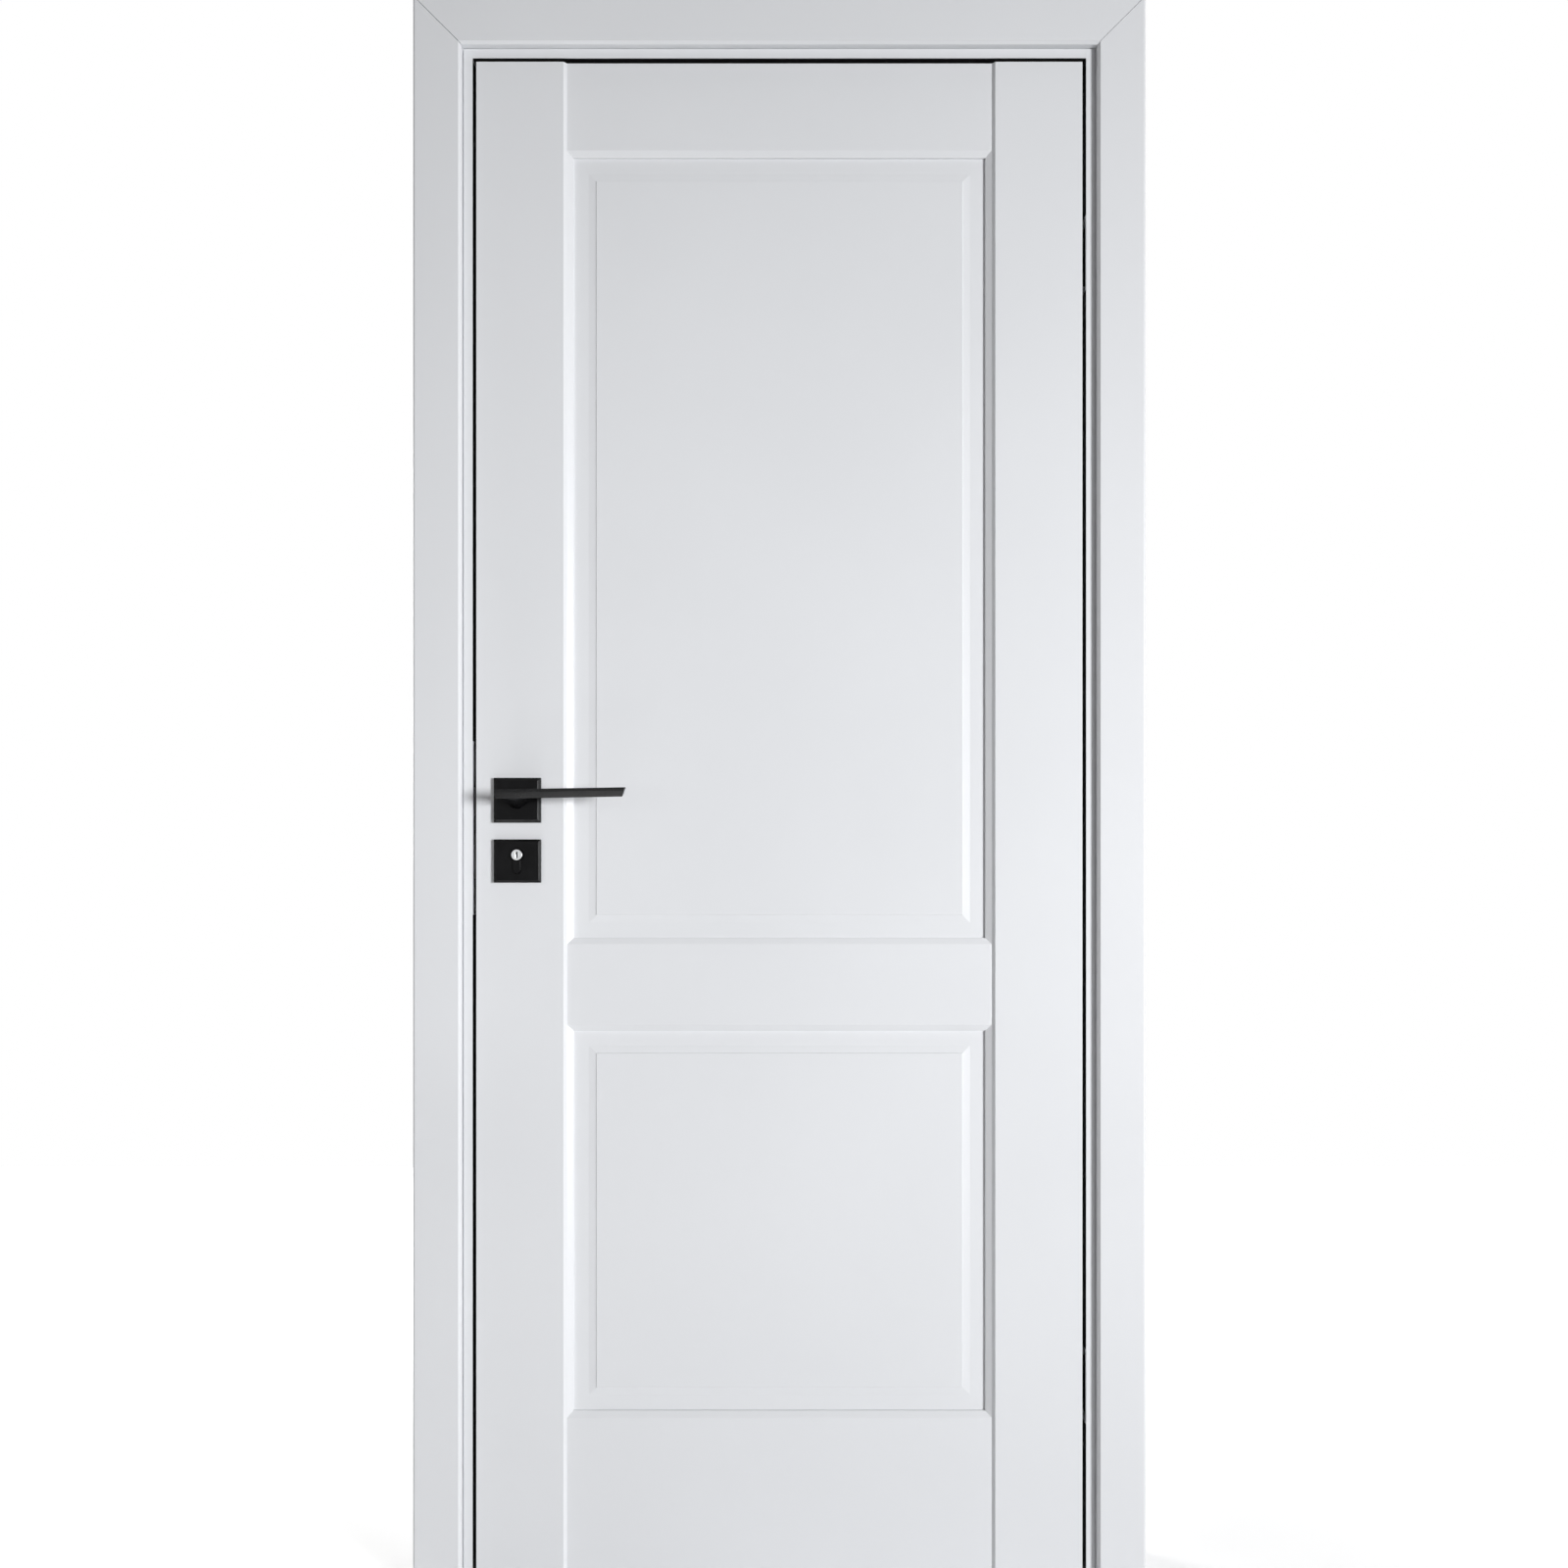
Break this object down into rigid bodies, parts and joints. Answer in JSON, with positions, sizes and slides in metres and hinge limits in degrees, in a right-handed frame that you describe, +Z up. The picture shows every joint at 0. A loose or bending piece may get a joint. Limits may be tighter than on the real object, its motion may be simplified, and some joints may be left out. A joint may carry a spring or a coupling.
{
  "type": "interior door in its frame",
  "caption": "White panelled interior door in its jambs and architraves, hung on concealed hinges, with a black lever set and a profile-cylinder lock.",
  "frame": {"origin": "on the outer wall face of the hinge jamb, at floor level, at mid depth of the wall", "axes": "+X out of the hinge jamb into the wall, +Y from the pictured side to the back, +Z up"},
  "size_m": [0.962, 0.168, 2.087],
  "materials": {
    "white_lacquer": "satin white lacquer",
    "black_hardware": "matt black",
    "bare_steel": "satin",
    "cylinder_chrome": "bright nickel",
    "black_seal": "matt rubber"
  },
  "bodies": {
    "frame": {"hinge_jamb": "white_lacquer", "latch_jamb": "white_lacquer", "head_jamb": "white_lacquer", "hinge_stop": "white_lacquer", "latch_stop": "white_lacquer", "head_stop": "white_lacquer", "front_architrave_latch": "white_lacquer", "front_architrave_hinge": "white_lacquer", "front_architrave_head": "white_lacquer", "back_architrave_latch": "white_lacquer", "back_architrave_hinge": "white_lacquer", "back_architrave_head": "white_lacquer", "hinge_seal": "black_seal", "latch_seal": "black_seal", "head_seal": "black_seal", "strike_plate": "black_hardware", "upper_hinge_frame_case": "black_hardware", "lower_hinge_frame_case": "black_hardware", "upper_hinge_pin": "bare_steel", "lower_hinge_pin": "bare_steel"},
    "leaf": {"latch_stile": "white_lacquer", "hinge_stile": "white_lacquer", "top_rail": "white_lacquer", "middle_rail": "white_lacquer", "bottom_rail": "white_lacquer", "upper_panel": "white_lacquer", "lower_panel": "white_lacquer", "upper_hinge_leaf_case": "black_hardware", "lower_hinge_leaf_case": "black_hardware", "front_rosette": "black_hardware", "back_rosette": "black_hardware", "front_key_plate": "black_hardware", "back_key_plate": "black_hardware", "lock_cylinder": "black_hardware", "front_cylinder_plug": "cylinder_chrome", "back_cylinder_plug": "cylinder_chrome", "lock_faceplate": "black_hardware", "latch_bolt": "bare_steel", "dead_bolt": "bare_steel"},
    "hinge_arms": {"upper_hinge_arm": "black_hardware", "lower_hinge_arm": "black_hardware"},
    "lever_set": {"front_lever": "black_hardware", "back_lever": "black_hardware", "spindle": "bare_steel"}
  },
  "joints": [
    {"name": "leaf_swing", "type": "hinge", "parent": "frame", "child": "leaf", "pos_m": [-0.0425, -0.053, 1.006], "axis": [0, 0, 1], "range_deg": [0, 90]},
    {"name": "hinge_arm_turn", "type": "hinge", "parent": "frame", "child": "hinge_arms", "pos_m": [-0.028, -0.0248, 1.006], "axis": [0, 0, 1], "range_deg": [0, 45]},
    {"name": "lever_turn", "type": "hinge", "parent": "leaf", "child": "lever_set", "pos_m": [-0.79, -0.03, 1.031], "axis": [0, 1, 0], "range_deg": [0, 45], "stiffness_Nm_per_rad": 1.5, "springref_deg": -28.65}
  ],
  "couplings": [
    {"joint": "hinge_arm_turn", "follows": "leaf_swing", "ratio": 0.5}
  ]
}
